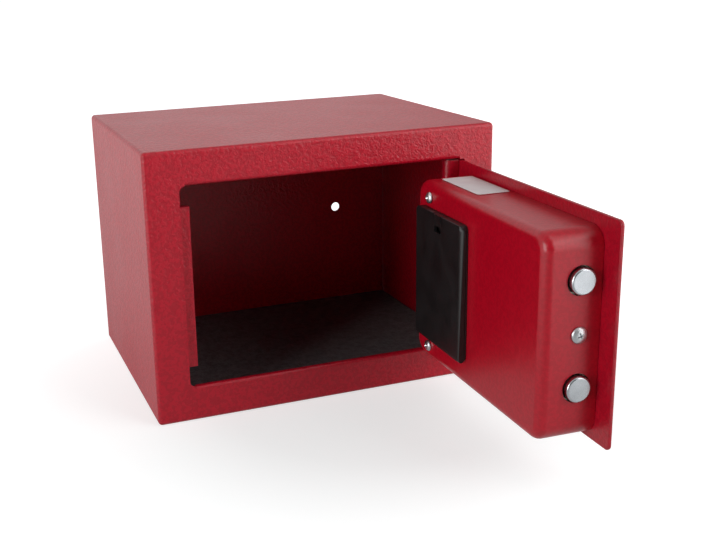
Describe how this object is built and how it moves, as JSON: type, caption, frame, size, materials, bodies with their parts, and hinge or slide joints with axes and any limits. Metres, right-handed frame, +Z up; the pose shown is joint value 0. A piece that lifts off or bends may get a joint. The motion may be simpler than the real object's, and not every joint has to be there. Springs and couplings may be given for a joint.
{
  "type": "electronic safe",
  "caption": "Small sheet-steel electronic safe with a hinged door, sliding lock bolts, a knob, a keypad, a battery compartment and a felt-lined interior.",
  "frame": {"origin": "centre of the cabinet's underside, on the surface that the safe stands on", "axes": "+X towards the hinge side, +Y from the door towards the back panel, +Z up"},
  "size_m": [0.23, 0.3426, 0.17],
  "materials": {
    "cabinet_paint": "textured powder coat",
    "door_paint": "satin powder coat",
    "felt": "needled felt",
    "zinc_steel": "zinc plated",
    "polished_steel": "polished",
    "brass": "turned",
    "nylon": "moulded",
    "black_plastic": "fine moulded grain",
    "key_plastic": "satin moulded",
    "lamp_plastic": "clear moulded",
    "circuit_board": "solder mask",
    "coil_tape": "wound and taped",
    "battery_sleeve": "printed film",
    "sticker": "paper film"
  },
  "bodies": {
    "cabinet": {"cabinet_shell": "cabinet_paint", "back_panel": "cabinet_paint", "floor_mat": "felt", "strike_bar": "cabinet_paint", "hinge_pin_upper": "zinc_steel", "hinge_pin_lower": "zinc_steel", "hinge_washer_upper": "nylon", "hinge_washer_lower": "nylon"},
    "door": {"door_plate": "door_paint", "hinge_tube_upper": "door_paint", "hinge_tube_lower": "door_paint", "door_back_cover": "door_paint", "cover_post_upper": "zinc_steel", "cover_post_lower": "zinc_steel", "cover_screw_upper": "polished_steel", "cover_screw_lower": "polished_steel", "side_screw": "polished_steel", "blank_sticker": "sticker", "bolt_bracket": "zinc_steel", "knob_rosette": "black_plastic", "spindle_bush": "nylon", "guide_strip": "zinc_steel", "solenoid_frame": "zinc_steel", "solenoid_coil": "coil_tape", "lock_body": "brass", "lock_nut": "zinc_steel", "keypad_housing": "black_plastic", "keypad_board": "circuit_board", "lamp_strip": "lamp_plastic", "keypad_ribbon": "nylon", "circuit_board": "circuit_board", "battery_tray": "black_plastic", "battery_1": "battery_sleeve", "battery_2": "battery_sleeve", "battery_3": "battery_sleeve", "battery_4": "battery_sleeve", "contact_strip_upper": "polished_steel", "contact_strip_lower": "polished_steel"},
    "bolts": {"bolt_carriage": "zinc_steel", "bolt_upper": "polished_steel", "bolt_lower": "polished_steel"},
    "knob": {"turning_knob": "black_plastic", "knob_spindle": "zinc_steel"},
    "plunger": {"solenoid_plunger": "zinc_steel"},
    "battery_lid": {"battery_cover": "black_plastic"},
    "key_lock": {"lock_plug": "brass"},
    "key_lock_cap": {"lock_cap": "black_plastic"},
    "push_1": {"key_1": "key_plastic"},
    "push_2": {"key_2": "key_plastic"},
    "push_3": {"key_3": "key_plastic"},
    "push_4": {"key_4": "key_plastic"},
    "push_5": {"key_5": "key_plastic"},
    "push_6": {"key_6": "key_plastic"},
    "push_7": {"key_7": "key_plastic"},
    "push_8": {"key_8": "key_plastic"},
    "push_9": {"key_9": "key_plastic"},
    "push_clear": {"key_clear": "key_plastic"},
    "push_0": {"key_0": "key_plastic"},
    "push_enter": {"key_enter": "key_plastic"}
  },
  "joints": [
    {"name": "door_hinge", "type": "hinge", "parent": "cabinet", "child": "door", "pos_m": [0.0865, -0.078, 0.0855], "axis": [0, 0, 1], "range_deg": [-87.7, 4]},
    {"name": "knob_turn", "type": "hinge", "parent": "door", "child": "knob", "pos_m": [0.08134, -0.2064, 0.0855], "axis": [-0.9992, 0.0401, 0], "range_deg": [0, 60]},
    {"name": "bolt_slide", "type": "slide", "parent": "door", "child": "bolts", "axis": [-0.0401, -0.9992, 0], "range_m": [0, 0.01]},
    {"name": "plunger_slide", "type": "slide", "parent": "door", "child": "plunger", "axis": [0, 0, 1], "range_m": [0, 0.005]},
    {"name": "battery_cover_tilt", "type": "hinge", "parent": "door", "child": "battery_lid", "pos_m": [0.05204, -0.13116, 0.0446], "axis": [-0.0401, -0.9992, 0], "range_deg": [0, 70]},
    {"name": "key_lock_turn", "type": "hinge", "parent": "door", "child": "key_lock", "pos_m": [0.08134, -0.2064, 0.1235], "axis": [-0.9992, 0.0401, 0], "range_deg": [0, 90]},
    {"name": "key_lock_cap_pull", "type": "slide", "parent": "door", "child": "key_lock_cap", "axis": [0.9992, -0.0401, 0], "range_m": [0, 0.012]},
    {"name": "press_1", "type": "slide", "parent": "door", "child": "push_1", "axis": [-0.9992, 0.0401, 0], "range_m": [0, 0.0012], "stiffness_N_per_m": 300},
    {"name": "press_2", "type": "slide", "parent": "door", "child": "push_2", "axis": [-0.9992, 0.0401, 0], "range_m": [0, 0.0012], "stiffness_N_per_m": 300},
    {"name": "press_3", "type": "slide", "parent": "door", "child": "push_3", "axis": [-0.9992, 0.0401, 0], "range_m": [0, 0.0012], "stiffness_N_per_m": 300},
    {"name": "press_4", "type": "slide", "parent": "door", "child": "push_4", "axis": [-0.9992, 0.0401, 0], "range_m": [0, 0.0012], "stiffness_N_per_m": 300},
    {"name": "press_5", "type": "slide", "parent": "door", "child": "push_5", "axis": [-0.9992, 0.0401, 0], "range_m": [0, 0.0012], "stiffness_N_per_m": 300},
    {"name": "press_6", "type": "slide", "parent": "door", "child": "push_6", "axis": [-0.9992, 0.0401, 0], "range_m": [0, 0.0012], "stiffness_N_per_m": 300},
    {"name": "press_7", "type": "slide", "parent": "door", "child": "push_7", "axis": [-0.9992, 0.0401, 0], "range_m": [0, 0.0012], "stiffness_N_per_m": 300},
    {"name": "press_8", "type": "slide", "parent": "door", "child": "push_8", "axis": [-0.9992, 0.0401, 0], "range_m": [0, 0.0012], "stiffness_N_per_m": 300},
    {"name": "press_9", "type": "slide", "parent": "door", "child": "push_9", "axis": [-0.9992, 0.0401, 0], "range_m": [0, 0.0012], "stiffness_N_per_m": 300},
    {"name": "press_clear", "type": "slide", "parent": "door", "child": "push_clear", "axis": [-0.9992, 0.0401, 0], "range_m": [0, 0.0012], "stiffness_N_per_m": 300},
    {"name": "press_0", "type": "slide", "parent": "door", "child": "push_0", "axis": [-0.9992, 0.0401, 0], "range_m": [0, 0.0012], "stiffness_N_per_m": 300},
    {"name": "press_enter", "type": "slide", "parent": "door", "child": "push_enter", "axis": [-0.9992, 0.0401, 0], "range_m": [0, 0.0012], "stiffness_N_per_m": 300}
  ],
  "couplings": [
    {"joint": "knob_turn", "follows": "bolt_slide", "rad_per_m": 104.7}
  ]
}
